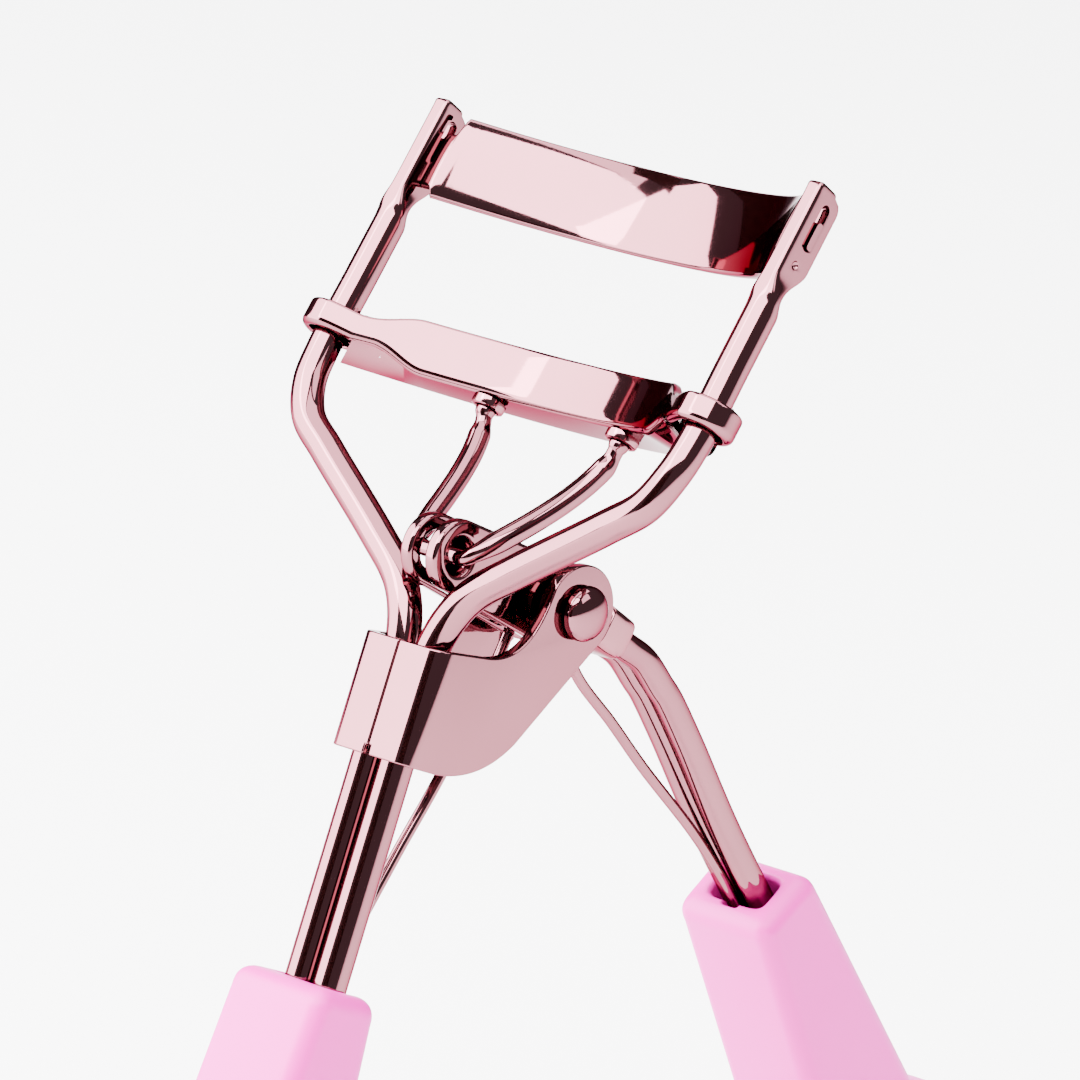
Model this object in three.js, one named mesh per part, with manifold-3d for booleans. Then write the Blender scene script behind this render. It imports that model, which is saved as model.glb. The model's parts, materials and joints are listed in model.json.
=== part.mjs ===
// Eyelash curler: a bent-wire frame with a fixed upper jaw, a lower jaw that slides on the frame's
// arms, a lever with a wire yoke that pushes it, two grips with finger loops and a return spring.
// Millimetres, +Z up, +X across the jaws, +Y from the fixed handle towards the moving handle.

import Module from 'manifold-3d';
import * as THREE from 'three';
import { mergeVertices } from 'three/addons/utils/BufferGeometryUtils.js';

const wasm = await Module();
wasm.setup();

// ---- driving dimensions -------------------------------------------------------------------------

const PIVOT_HEIGHT = 70.5;        // pivot axis above the feet
const SHANK_TILT = 24.5;          // degrees from vertical, fixed shank
const ARM_TILT = 40.2;            // degrees from vertical, frame arms
const HANDLE_TILT = 31.2;         // degrees from vertical, moving shank
const ARM_SPACING = 36;           // between the arms' centrelines
const ROD_RADIUS = 1.25;
const HANDLE_ROD_RADIUS = 1.1;
const ROD_OFFSET_X = 1.35;        // half the spacing of the paired rods
const SHANK_LINE = -10.95;        // fixed shank's centreline, measured from the pivot across the shank
const ARM_LINE = -13.0;           // arms' centreline, measured from the pivot across the arms
const HANDLE_LINE = 4.6;          // moving shank's centreline, measured from the pivot across it
const ARM_TIP = 30.1;             // along the arms, from the level of the pivot
const JAW_BULGE = 7.0;            // how far the jaws' arc stands forward of its ends
const JAW_HALF_SPAN = 16.0;
const STRIP_HALF_SPAN = 16.2;     // upper jaw, then the lower jaw's block, its pocket and its pad
const TRAY_HALF_SPAN = 15.9;
const POCKET_HALF_SPAN = 15.2;
const PAD_HALF_SPAN = 14.2;
const STRIP_BOTTOM = 23.0;        // upper jaw's edges at its ends, along the arms
const STRIP_TOP = 29.6;
const STRIP_THICKNESS = 0.8;
const LIP_TOP = 13.6;             // lower jaw's lip at its ends, along the arms
const CHANNEL_HEIGHT = 4.1;
const CHANNEL_DEPTH = 4.2;
const CHANNEL_FRONT = -14.2;      // front face of the lower jaw at its ends, across the arms
const SHEET = 0.6;                // lower jaw's sheet thickness
const PAD_TOP = 13.6;
const GUIDE_RADIUS = 2.35;        // guide loops round the arms
const GUIDE_BORE = 1.55;
const GUIDE_HEIGHT = 2.0;
const GUIDE_LEVEL = 11.7;
const BRACKET_HALF_WIDTH = 4.0;
const BRACKET_WALL = 0.9;
const BAND_WALL = 0.6;            // bracket's wall in front of the rods
const BRACKET_FRONT = -12.9;
const BAND_TOP = -5.6;
const BAND_BOTTOM = -13.8;
const EYE_RADIUS = 3.4;           // round end of the bracket about the pivot
const RIVET_RADIUS = 1.0;
const RIVET_HEAD_RADIUS = 2.0;
const RIVET_HEAD_HEIGHT = 1.4;
const PIVOT_HOLE = 1.3;
const LEVER_HALF_WIDTH = 1.75;
const LEVER_SLOT = 0.65;          // half the slot between the lever's two plates
const EAR = [-11.2, 1.2];         // ear hole, in the fixed shank's frame
const EAR_RADIUS = 2.6;
const EAR_HOLE = 1.4;
const YOKE_RADIUS = 0.6;
const YOKE_BALL = [-7.16, 10.3];  // ball centres, in the arms' frame
const YOKE_BALL_X = 6.5;
const YOKE_BALL_RADIUS = 0.75;
const SPRING_RADIUS = 0.42;
const SPRING_LOOP = 1.75;
const FIXED_GRIP_START = -30.0;   // along the fixed shank
const HANDLE_GRIP_START = 34.3;   // down the moving shank
const GRIP_HALF_WIDTH = 4.6;
const LOOP_OUTER = [11.8, 13.0];  // half width and half height of a finger loop
const LOOP_INNER = [8.3, 9.5];
const SLEEVE = 24.0;              // straight part of a grip
const GAP = 0.3;

// ---- frames of reference ------------------------------------------------------------------------

const radians = (degrees) => degrees * Math.PI / 180;

// A side frame is the (y, z) plane turned by a tilt from vertical: across points to +Y, along points up.
function sideFrame(tilt) {
  const sine = Math.sin(radians(tilt));
  const cosine = Math.cos(radians(tilt));
  const across = new THREE.Vector3(0, cosine, -sine);
  const along = new THREE.Vector3(0, sine, cosine);
  return { across, along };
}

const UPRIGHT = sideFrame(0);
const SHANK = sideFrame(SHANK_TILT);
const ARMS = sideFrame(ARM_TILT);
const HANDLE = sideFrame(-HANDLE_TILT);
const X_AXIS = new THREE.Vector3(1, 0, 0);

function at(frame, x, across, along) {
  return new THREE.Vector3(x, 0, 0)
    .addScaledVector(frame.across, across)
    .addScaledVector(frame.along, along);
}

// ---- solids -------------------------------------------------------------------------------------

function toSolid(geometry) {
  const bare = geometry.clone();
  bare.deleteAttribute('normal');
  bare.deleteAttribute('uv');
  const merged = mergeVertices(bare, 1e-5);
  const triVerts = Uint32Array.from(merged.index.array);
  const vertProperties = Float32Array.from(merged.attributes.position.array);
  return new wasm.Manifold(new wasm.Mesh({ numProp: 3, vertProperties, triVerts }));
}

function toGeometry(solid) {
  const mesh = solid.getMesh();
  const geometry = new THREE.BufferGeometry();
  geometry.setAttribute('position', new THREE.BufferAttribute(mesh.vertProperties, 3));
  geometry.setIndex(new THREE.BufferAttribute(mesh.triVerts, 1));
  geometry.computeVertexNormals();
  return geometry;
}

function circle(across, along, radius) {
  const shape = new THREE.Shape();
  shape.absarc(across, along, radius, 0, 2 * Math.PI, false);
  return shape;
}

function rectangle(left, bottom, right, top) {
  const shape = new THREE.Shape();
  shape.moveTo(left, bottom);
  shape.lineTo(right, bottom);
  shape.lineTo(right, top);
  shape.lineTo(left, top);
  shape.closePath();
  return shape;
}

// A side outline (across, along) given thickness from one x to another.
function plate(frame, shape, fromX, toX, curveSegments = 8) {
  const depth = toX - fromX;
  const geometry = new THREE.ExtrudeGeometry(shape, { depth, bevelEnabled: false, curveSegments });
  const basis = new THREE.Matrix4().makeBasis(frame.across, frame.along, X_AXIS);
  return geometry.applyMatrix4(basis.setPosition(fromX, 0, 0));
}

// A section in (x, across) given height from one level to another along a frame, leaning by a shear.
function column(frame, shape, fromAlong, toAlong, lean = 0, curveSegments = 8) {
  const depth = toAlong - fromAlong;
  const geometry = new THREE.ExtrudeGeometry(shape, { depth, bevelEnabled: false, curveSegments });
  const leaning = frame.across.clone().addScaledVector(frame.along, lean);
  const basis = new THREE.Matrix4().makeBasis(X_AXIS, leaning, frame.along);
  return geometry.applyMatrix4(basis.setPosition(at(frame, 0, 0, fromAlong)));
}

function wire(points, radius, steps, sides = 8) {
  const extrudePath = new THREE.CatmullRomCurve3(points, false, 'centripetal');
  const section = circle(0, 0, radius);
  return new THREE.ExtrudeGeometry(section, { extrudePath, steps, curveSegments: sides / 2 });
}

function mirrored(points) {
  return points.map((point) => new THREE.Vector3(-point.x, point.y, point.z));
}

// A turned piece on an x axis through a side point; the profile is (radius, x).
function turned(frame, across, along, profile, segments = 20) {
  const outline = profile.map(([radius, x]) => new THREE.Vector2(radius, x));
  const geometry = new THREE.LatheGeometry(outline, segments);
  const place = at(frame, 0, across, along);
  return geometry.rotateZ(-Math.PI / 2).translate(place.x, place.y, place.z);
}

function union(...geometries) {
  const solids = geometries.map(toSolid);
  return solids.reduce((sum, solid) => sum.add(solid));
}

// ---- materials ----------------------------------------------------------------------------------

const metal = (color) => new THREE.MeshStandardMaterial({ color, roughness: 0.12, metalness: 1 });
const rose = metal('#d9a3a6');
const roseBright = metal('#e6b9ba');
const gripPink = new THREE.MeshStandardMaterial({ color: '#f096dc', roughness: 0.5, metalness: 0 });
const silicone = new THREE.MeshStandardMaterial({ color: '#f3dfe4', roughness: 0.6, metalness: 0 });

const curler = new THREE.Group();
curler.position.z = PIVOT_HEIGHT;

function piece(name, geometry, material) {
  const mesh = new THREE.Mesh(geometry, material);
  mesh.name = name;
  curler.add(mesh);
}

// ---- frame: two wires with flattened ends -------------------------------------------------------

const ARM_X = ARM_SPACING / 2;
const PADDLE = { front: ARM_LINE - 1.1, back: -11.1, halfThickness: 0.7, bottom: 22.7 };
const TAB = { front: -12.95, back: -12.35, bottom: 25.5, top: 27.6, start: 15.8, end: 18.9 };
const TAB_SHOULDER = { bottom: 23.6, top: 28.1, end: ARM_X - PADDLE.halfThickness - 0.05 };

function frameRodPoints() {
  const spread = [
    [ROD_OFFSET_X, -43], [ROD_OFFSET_X, -30], [ROD_OFFSET_X, BAND_BOTTOM], [ROD_OFFSET_X, -8],
    [ROD_OFFSET_X + 0.1, -5.6], [2.2, -3.2], [3.5, -1.3], [6.8, 1.2], [13.7, 5.9], [16.4, 7.9],
  ].map(([x, along]) => at(SHANK, x, SHANK_LINE, along));
  const arm = [[17.6, -13.0, 7.0], [ARM_X, ARM_LINE, 9.6], [ARM_X, ARM_LINE, 16], [ARM_X, ARM_LINE, 23]]
    .map(([x, across, along]) => at(ARMS, x, across, along));
  return [...spread, ...arm];
}

function paddle() {
  const { front, back, halfThickness, bottom } = PADDLE;
  const shape = new THREE.Shape();
  shape.moveTo(front, bottom);
  shape.lineTo(ARM_LINE + 0.8, bottom);
  shape.lineTo(back, bottom + 1.6);
  shape.lineTo(back, ARM_TIP - 1.2);
  shape.quadraticCurveTo(back, ARM_TIP, back - 1.2, ARM_TIP);
  shape.lineTo(front + 0.4, ARM_TIP);
  shape.lineTo(front, ARM_TIP - 0.4);
  shape.closePath();
  return plate(ARMS, shape, ARM_X - halfThickness, ARM_X + halfThickness, 4);
}

// The slot in an arm's flattened end is a little larger than the upper jaw's tab, and longer at the top.
function tabSlot() {
  const shape = rectangle(TAB.front - 0.15, TAB.bottom - 0.15, TAB.back + 0.15, TAB.top + 1.4);
  return plate(ARMS, shape, ARM_X - 2, ARM_X + 2);
}

function frameRod() {
  const blank = union(wire(frameRodPoints(), ROD_RADIUS, 56), paddle());
  return blank.subtract(toSolid(tabSlot()));
}

const rightRod = frameRod();
piece('right_frame_rod', toGeometry(rightRod), rose);
piece('left_frame_rod', toGeometry(rightRod.mirror([1, 0, 0])), rose);

// ---- jaws ---------------------------------------------------------------------------------------

const JAW_LEAN = Math.tan(radians(ARM_TILT - SHANK_TILT));
const ARC_RISE = JAW_BULGE * Math.cos(radians(ARM_TILT - SHANK_TILT));
const ARC_RADIUS = (JAW_HALF_SPAN ** 2 + ARC_RISE ** 2) / (2 * ARC_RISE);

// A band that follows the jaws' arc: inset and depth are measured from the upper jaw's front face.
function arcBand(inset, depth, halfSpan) {
  const centre = ARC_RISE - ARC_RADIUS;
  const inner = ARC_RADIUS + inset;
  const outer = inner + depth;
  const reach = Math.asin(halfSpan / ARC_RADIUS);
  const shape = new THREE.Shape();
  shape.absarc(0, centre, outer, Math.PI / 2 - reach, Math.PI / 2 + reach, false);
  shape.absarc(0, centre, inner, Math.PI / 2 + reach, Math.PI / 2 - reach, true);
  shape.closePath();
  return shape;
}

// The jaws' arc starts level with its ends, at the front face of the upper jaw.
function jawColumn(shape, fromAlong, toAlong) {
  const geometry = column(ARMS, shape, fromAlong, toAlong, JAW_LEAN, 10);
  const shift = at(ARMS, 0, ARM_LINE, 0);
  return geometry.translate(shift.x, shift.y, shift.z);
}

// Each end has a shoulder that meets its arm and a tab that passes through the slot in its arm.
function upperJaw() {
  const strip = toSolid(jawColumn(arcBand(0, STRIP_THICKNESS, STRIP_HALF_SPAN), STRIP_BOTTOM, STRIP_TOP));
  const tab = toSolid(plate(ARMS, rectangle(TAB.front, TAB.bottom, TAB.back, TAB.top), TAB.start, TAB.end));
  const { bottom, top, end } = TAB_SHOULDER;
  const shoulder = toSolid(plate(ARMS, rectangle(TAB.front, bottom, TAB.back, top), TAB.start, end));
  return strip.add(shoulder).add(tab).add(shoulder.mirror([1, 0, 0])).add(tab.mirror([1, 0, 0]));
}

piece('upper_jaw', toGeometry(upperJaw()), rose);

const CHANNEL_INSET = CHANNEL_FRONT - ARM_LINE;
const CHANNEL_FLOOR = LIP_TOP - CHANNEL_HEIGHT + SHEET;

function guideLoop() {
  const ring = circle(ARM_X, ARM_LINE, GUIDE_RADIUS);
  return column(ARMS, ring, GUIDE_LEVEL - GUIDE_HEIGHT / 2, GUIDE_LEVEL + GUIDE_HEIGHT / 2);
}

function guideBore() {
  return column(ARMS, circle(ARM_X, ARM_LINE, GUIDE_BORE), GUIDE_LEVEL - 5, GUIDE_LEVEL + 5);
}

// A closed section of (inset, along) points carried round the jaws' arc. The section stays square to the
// arms while it rises with the lean of the arc.
function jawSweep(section, halfSpan, steps = 24) {
  const reach = Math.asin(halfSpan / ARC_RADIUS);
  const positions = [];
  for (let step = 0; step <= steps; step += 1) {
    const turn = reach * (2 * step / steps - 1);
    const rise = JAW_LEAN * (ARC_RISE - ARC_RADIUS + ARC_RADIUS * Math.cos(turn));
    for (const [inset, along] of section) {
      const radius = ARC_RADIUS + inset;
      const across = ARM_LINE + ARC_RISE - ARC_RADIUS + radius * Math.cos(turn);
      positions.push(...at(ARMS, radius * Math.sin(turn), across, along + rise).toArray());
    }
  }
  const count = section.length;
  const index = [];
  for (let step = 0; step < steps; step += 1) {
    for (let k = 0; k < count; k += 1) {
      const here = step * count + k;
      const beside = step * count + (k + 1) % count;
      index.push(here, beside, here + count, beside, beside + count, here + count);
    }
  }
  const outline = section.map(([inset, along]) => new THREE.Vector2(inset, along));
  const last = steps * count;
  for (const [a, b, c] of THREE.ShapeUtils.triangulateShape(outline, [])) {
    index.push(a, c, b, last + a, last + b, last + c);
  }
  const geometry = new THREE.BufferGeometry();
  geometry.setAttribute('position', new THREE.Float32BufferAttribute(positions, 3));
  geometry.setIndex(index);
  geometry.computeVertexNormals();
  return geometry;
}

// The channel has a front wall, a floor and a back wall, and closed ends.
function lowerJaw() {
  const front = CHANNEL_INSET;
  const back = CHANNEL_INSET + CHANNEL_DEPTH;
  const low = LIP_TOP - CHANNEL_HEIGHT;
  const block = [[front, low], [back, low], [back, LIP_TOP], [front, LIP_TOP]];
  const pocket = [
    [front + SHEET, CHANNEL_FLOOR], [back - SHEET, CHANNEL_FLOOR], [back - SHEET, LIP_TOP + 2],
    [front + SHEET, LIP_TOP + 2],
  ];
  const loop = toSolid(guideLoop());
  const bore = toSolid(guideBore());
  return toSolid(jawSweep(block, TRAY_HALF_SPAN)).subtract(toSolid(jawSweep(pocket, POCKET_HALF_SPAN)))
    .add(loop).add(loop.mirror([1, 0, 0]))
    .subtract(bore).subtract(bore.mirror([1, 0, 0]));
}

piece('lower_jaw', toGeometry(lowerJaw()), rose);

const PAD_FRONT = CHANNEL_INSET + SHEET + 0.2;
const PAD_BACK = CHANNEL_INSET + CHANNEL_DEPTH - SHEET - 0.2;
const PAD_BOTTOM = CHANNEL_FLOOR + 0.2;
const padSection = [
  [PAD_FRONT, PAD_BOTTOM], [PAD_BACK, PAD_BOTTOM], [PAD_BACK, PAD_TOP], [PAD_FRONT, PAD_TOP],
];
piece('lash_pad', jawSweep(padSection, PAD_HALF_SPAN), silicone);

// ---- bracket, spacer, rivet and washers ---------------------------------------------------------

function bracketOutline() {
  const shape = new THREE.Shape();
  shape.moveTo(BRACKET_FRONT, BAND_BOTTOM);
  shape.lineTo(-9.8, BAND_BOTTOM);
  shape.quadraticCurveTo(-5.2, BAND_BOTTOM + 0.2, -2.6, -10.2);
  const away = radians(-38);
  shape.lineTo(EYE_RADIUS * Math.cos(away), EYE_RADIUS * Math.sin(away));
  shape.absarc(0, 0, EYE_RADIUS, away, radians(160), false);
  shape.bezierCurveTo(-3.4, -1.2, -4.0, -4.6, -8.0, -5.0);
  shape.lineTo(BRACKET_FRONT, BAND_TOP);
  shape.closePath();
  return shape;
}

// The band's section in (x, across) has rounded front corners.
function bracketSection() {
  const round = 1.9;
  const half = BRACKET_HALF_WIDTH;
  const back = EYE_RADIUS + 2;
  const shape = new THREE.Shape();
  shape.moveTo(-half, back);
  shape.lineTo(-half, BRACKET_FRONT + round);
  shape.absarc(-half + round, BRACKET_FRONT + round, round, Math.PI, 1.5 * Math.PI, false);
  shape.lineTo(half - round, BRACKET_FRONT);
  shape.absarc(half - round, BRACKET_FRONT + round, round, -Math.PI / 2, 0, false);
  shape.lineTo(half, back);
  shape.closePath();
  return shape;
}

function bracketPocket() {
  const half = BRACKET_HALF_WIDTH - BRACKET_WALL;
  const front = BRACKET_FRONT + BAND_WALL;
  return rectangle(-half, front, half, EYE_RADIUS + 5);
}

function bracket() {
  const half = BRACKET_HALF_WIDTH;
  const sides = toSolid(plate(SHANK, bracketOutline(), -half, half, 6));
  const section = toSolid(column(SHANK, bracketSection(), BAND_BOTTOM - 1, EYE_RADIUS + 1, 0, 5));
  const pocket = toSolid(column(SHANK, bracketPocket(), BAND_BOTTOM - 2, EYE_RADIUS + 2));
  const hole = toSolid(plate(SHANK, circle(0, 0, PIVOT_HOLE), -half - 1, half + 1));
  return sides.intersect(section).subtract(pocket).subtract(hole);
}

piece('clamp_bracket', toGeometry(bracket()), rose);

const SPACER_FRONT = SHANK_LINE + ROD_RADIUS + GAP;
const spacerSection = rectangle(-2.8, SPACER_FRONT, 2.8, SPACER_FRONT + 1.0);
piece('rod_spacer', column(SHANK, spacerSection, BAND_BOTTOM + 0.6, BAND_TOP - 0.6), roseBright);

const RIVET_SEAT = BRACKET_HALF_WIDTH + 0.15;

function rivet() {
  const head = [];
  const edge = 0.3;
  const dome = RIVET_HEAD_HEIGHT - edge;
  for (let step = 0; step <= 5; step += 1) {
    const turn = step * Math.PI / 10;
    head.push([RIVET_HEAD_RADIUS * Math.cos(turn), RIVET_SEAT + edge + dome * Math.sin(turn)]);
  }
  const right = [[RIVET_RADIUS, RIVET_SEAT], [RIVET_HEAD_RADIUS, RIVET_SEAT], ...head];
  const left = right.map(([radius, x]) => [radius, -x]).reverse();
  return turned(SHANK, 0, 0, [...left, ...right]);
}

piece('pivot_rivet', rivet(), rose);

const WASHER = { from: LEVER_HALF_WIDTH + 0.25, to: BRACKET_HALF_WIDTH - BRACKET_WALL - 0.25, radius: 2.3 };
const rightWasher = toSolid(turned(SHANK, 0, 0, [
  [PIVOT_HOLE, WASHER.from], [WASHER.radius, WASHER.from], [WASHER.radius, WASHER.to],
  [PIVOT_HOLE, WASHER.to], [PIVOT_HOLE, WASHER.from],
]));
piece('right_pivot_washer', toGeometry(rightWasher), roseBright);
piece('left_pivot_washer', toGeometry(rightWasher.mirror([1, 0, 0])), roseBright);

// ---- lever and collar ---------------------------------------------------------------------------

const COLLAR_TILT = 38.5;
const ROOT = sideFrame(COLLAR_TILT);      // runs out of the lever towards the handle rods
const ROOT_LINE = 0.94;
const TAIL_END = 6.2;
const COLLAR_START = 4.8;

function leverOutline() {
  const [across, along] = EAR;
  const shape = new THREE.Shape();
  shape.absarc(across, along, EAR_RADIUS, radians(86), radians(265), false);
  shape.lineTo(-0.6, -3.0);
  shape.lineTo(5.9, -1.6);
  shape.lineTo(6.5, 0.5);
  shape.lineTo(1.2, 3.0);
  shape.closePath();
  return shape;
}

function lever() {
  const half = LEVER_HALF_WIDTH;
  const blank = toSolid(plate(SHANK, leverOutline(), -half, half, 9));
  const slot = toSolid(plate(SHANK, rectangle(-20, -8, 20, 8), -LEVER_SLOT, LEVER_SLOT));
  const shoulder = toSolid(plate(ROOT, rectangle(COLLAR_START - GAP, -8, 20, 8), -half - 1, half + 1));
  const tail = toSolid(plate(ROOT, rectangle(3.7, ROOT_LINE - 1.1, TAIL_END, ROOT_LINE + 1.1), -half, half));
  const earHole = toSolid(plate(SHANK, circle(EAR[0], EAR[1], EAR_HOLE), -half - 1, half + 1));
  const pivotHole = toSolid(plate(SHANK, circle(0, 0, PIVOT_HOLE), -half - 1, half + 1));
  return blank.subtract(slot).subtract(shoulder).add(tail).subtract(earHole).subtract(pivotHole);
}

piece('lever_channel', toGeometry(lever()), rose);

function collar() {
  const block = rectangle(COLLAR_START, ROOT_LINE - 1.95, TAIL_END + 2.4, ROOT_LINE + 1.95);
  const bore = rectangle(TAIL_END - 4, ROOT_LINE - 1.45, TAIL_END + 5, ROOT_LINE + 1.45);
  const outer = toSolid(plate(ROOT, block, -2.85, 2.85));
  return outer.subtract(toSolid(plate(ROOT, bore, -2.45, 2.45)));
}

piece('shank_collar', toGeometry(collar()), roseBright);

// ---- moving shank -------------------------------------------------------------------------------

function handleRodPoints() {
  const root = [[TAIL_END + 0.4, ROOT_LINE], [TAIL_END + 2.4, ROOT_LINE - 0.05]]
    .map(([across, along]) => at(ROOT, 1.2, across, along));
  const bend = [[9.4, -6.3], [11.2, -8.7]].map(([y, z]) => at(UPRIGHT, 1.2, y, z));
  const shank = [[5.2, 14.5], [5.1, 19], [HANDLE_LINE, 28], [HANDLE_LINE, 46]]
    .map(([out, down]) => at(HANDLE, 1.2, out, -down));
  return [...root, ...bend, ...shank];
}

piece('right_handle_rod', wire(handleRodPoints(), HANDLE_ROD_RADIUS, 30), rose);
piece('left_handle_rod', wire(mirrored(handleRodPoints()), HANDLE_ROD_RADIUS, 30), rose);

// ---- grips --------------------------------------------------------------------------------------

// A grip's edges, measured across from its shank's centreline: low and high at the top of the sleeve and
// at its foot, then the finger loop's centre and how far it is below the grip's top.
const FIXED_GRIP = { lowTop: -4.0, highTop: 2.4, lowFoot: -6.1, highFoot: 4.8, loop: -0.05, drop: 39.3 };
const MOVING_GRIP = { lowTop: -3.6, highTop: 3.1, lowFoot: -7.5, highFoot: 3.2, loop: -1.8, drop: 37.2 };

function gripOutline(line, start, edges) {
  const low = line + edges.lowTop;
  const high = line + edges.highTop;
  const foot = start - SLEEVE;
  const lowFoot = line + edges.lowFoot;
  const highFoot = line + edges.highFoot;
  const loopAcross = line + edges.loop;
  const loopAlong = start - edges.drop;
  const [half, tall] = LOOP_OUTER;
  const corner = 1.2;
  const shape = new THREE.Shape();
  shape.moveTo(high - corner, start);
  shape.lineTo(low + corner, start);
  shape.quadraticCurveTo(low, start, low, start - corner);
  shape.lineTo(lowFoot, foot);
  shape.bezierCurveTo(lowFoot, foot - 4, loopAcross - half, foot - 5, loopAcross - half, loopAlong);
  shape.absellipse(loopAcross, loopAlong, half, tall, Math.PI, 2 * Math.PI, false, 0);
  shape.bezierCurveTo(loopAcross + half, foot - 5, highFoot, foot - 4, highFoot, foot);
  shape.lineTo(high, start - corner);
  shape.quadraticCurveTo(high, start, high - corner, start);
  const hole = new THREE.Path();
  hole.absellipse(loopAcross, loopAlong, LOOP_INNER[0], LOOP_INNER[1], 0, 2 * Math.PI, false, 0);
  shape.holes.push(hole);
  return shape;
}

// The spring's slot is on the side of the socket that faces the other grip.
function grip(frame, line, start, edges, side, socketHalf) {
  const shape = gripOutline(line, start, edges);
  const body = toSolid(plate(frame, shape, -GRIP_HALF_WIDTH, GRIP_HALF_WIDTH, 14));
  const socketShape = rectangle(line - 1.5, start - 13.5, line + 1.5, start + 3);
  const springShape = rectangle(line - side * 0.9, start - 8, line - side * 1.9, start + 3);
  const socket = toSolid(plate(frame, socketShape, -socketHalf, socketHalf));
  const springSlot = toSolid(plate(frame, springShape, -0.9, 0.9));
  const below = rectangle(-90, -PIVOT_HEIGHT - 20, 90, -PIVOT_HEIGHT);
  const floor = toSolid(plate(UPRIGHT, below, -20, 20));
  return body.subtract(socket).subtract(springSlot).subtract(floor);
}

const fixedGrip = grip(SHANK, SHANK_LINE, FIXED_GRIP_START, FIXED_GRIP, -1, 2.9);
const movingGrip = grip(HANDLE, HANDLE_LINE, -HANDLE_GRIP_START, MOVING_GRIP, 1, 2.7);
piece('fixed_grip', toGeometry(fixedGrip), gripPink);
piece('moving_grip', toGeometry(movingGrip), gripPink);

// ---- return spring ------------------------------------------------------------------------------

function springPoints() {
  const fixedLeg = [[-9.55, -36], [-9.5, -31], [-8.9, -27], [-6.9, -20.2], [-4.7, -13.6], [-2.6, -5]]
    .map(([across, along]) => at(SHANK, 0, across, along));
  const loop = [];
  for (let turn = 170; turn >= -10; turn -= 30) {
    const angle = radians(turn);
    loop.push(at(SHANK, 0, SPRING_LOOP * Math.cos(angle), SPRING_LOOP * Math.sin(angle)));
  }
  const movingLeg = [[2.2, -3.2], [3.9, -6.6], [7.3, -10.7], [10.7, -15.0]]
    .map(([y, z]) => at(UPRIGHT, 0, y, z));
  const socketLeg = [[2.8, 27], [3.3, 33], [3.35, 38.5]].map(([out, down]) => at(HANDLE, 0, out, -down));
  return [...fixedLeg, ...loop, ...movingLeg, ...socketLeg];
}

piece('return_spring', wire(springPoints(), SPRING_RADIUS, 60, 6), rose);

// ---- yoke and its sockets -----------------------------------------------------------------------

function yokeLeg() {
  const ball = at(ARMS, YOKE_BALL_X, YOKE_BALL[0], YOKE_BALL[1]);
  const leg = [
    [5.9, -4.3, 10.6], [5.5, -4.4, 9.6], [5.2, -5.1, 8.1], [4.8, -6.5, 6.5],
    [4.2, -8.1, 5.0], [3.5, -9.8, 3.1], [2.75, -11.0, 1.6],
  ].map(([x, across, along]) => at(SHANK, x, across, along));
  return [ball, ...leg, at(SHANK, 2.1, EAR[0], EAR[1])];
}

function yoke() {
  const right = yokeLeg();
  const path = [...right, at(SHANK, 0, EAR[0], EAR[1]), ...mirrored(right).reverse()];
  const ball = new THREE.SphereGeometry(YOKE_BALL_RADIUS, 14, 10);
  const centre = right[0];
  ball.translate(centre.x, centre.y, centre.z);
  const rightBall = toSolid(ball);
  return toSolid(wire(path, YOKE_RADIUS, 64)).add(rightBall).add(rightBall.mirror([1, 0, 0]));
}

piece('yoke_wire', toGeometry(yoke()), rose);

// A socket is a short ring under the lower jaw's floor, round the top of a yoke ball.
function yokeSocket() {
  const ring = circle(YOKE_BALL_X, YOKE_BALL[0], 1.25);
  ring.holes.push(circle(YOKE_BALL_X, YOKE_BALL[0], 0.9));
  return column(ARMS, ring, YOKE_BALL[1] + 0.1, YOKE_BALL[1] + 0.7);
}

const rightSocket = toSolid(yokeSocket());
piece('right_yoke_socket', toGeometry(rightSocket), roseBright);
piece('left_yoke_socket', toGeometry(rightSocket.mirror([1, 0, 0])), roseBright);

// The origin is on the floor, below the middle of the curler.
const extent = new THREE.Box3().setFromObject(curler);
curler.position.y = -(extent.min.y + extent.max.y) / 2;

export default curler;
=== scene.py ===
import json
import math

import bmesh
import bpy
from mathutils import Matrix, Vector


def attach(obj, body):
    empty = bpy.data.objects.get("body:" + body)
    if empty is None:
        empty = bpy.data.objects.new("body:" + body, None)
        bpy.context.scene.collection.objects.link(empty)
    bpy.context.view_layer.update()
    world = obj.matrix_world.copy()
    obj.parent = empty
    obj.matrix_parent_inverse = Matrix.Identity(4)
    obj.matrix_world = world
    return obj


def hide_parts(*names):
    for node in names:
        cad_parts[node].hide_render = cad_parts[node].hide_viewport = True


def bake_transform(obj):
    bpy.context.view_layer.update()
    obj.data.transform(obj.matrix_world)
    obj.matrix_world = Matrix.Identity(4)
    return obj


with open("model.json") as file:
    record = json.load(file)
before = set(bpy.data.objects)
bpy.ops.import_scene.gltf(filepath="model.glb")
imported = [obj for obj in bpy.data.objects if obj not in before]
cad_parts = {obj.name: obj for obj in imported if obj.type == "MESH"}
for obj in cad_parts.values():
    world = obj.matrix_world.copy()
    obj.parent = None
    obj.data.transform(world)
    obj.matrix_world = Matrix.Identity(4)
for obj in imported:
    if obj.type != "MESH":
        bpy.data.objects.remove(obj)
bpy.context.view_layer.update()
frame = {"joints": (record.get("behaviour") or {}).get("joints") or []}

MM = 0.001


# ---- what the frame says ------------------------------------------------------------------------

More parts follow.
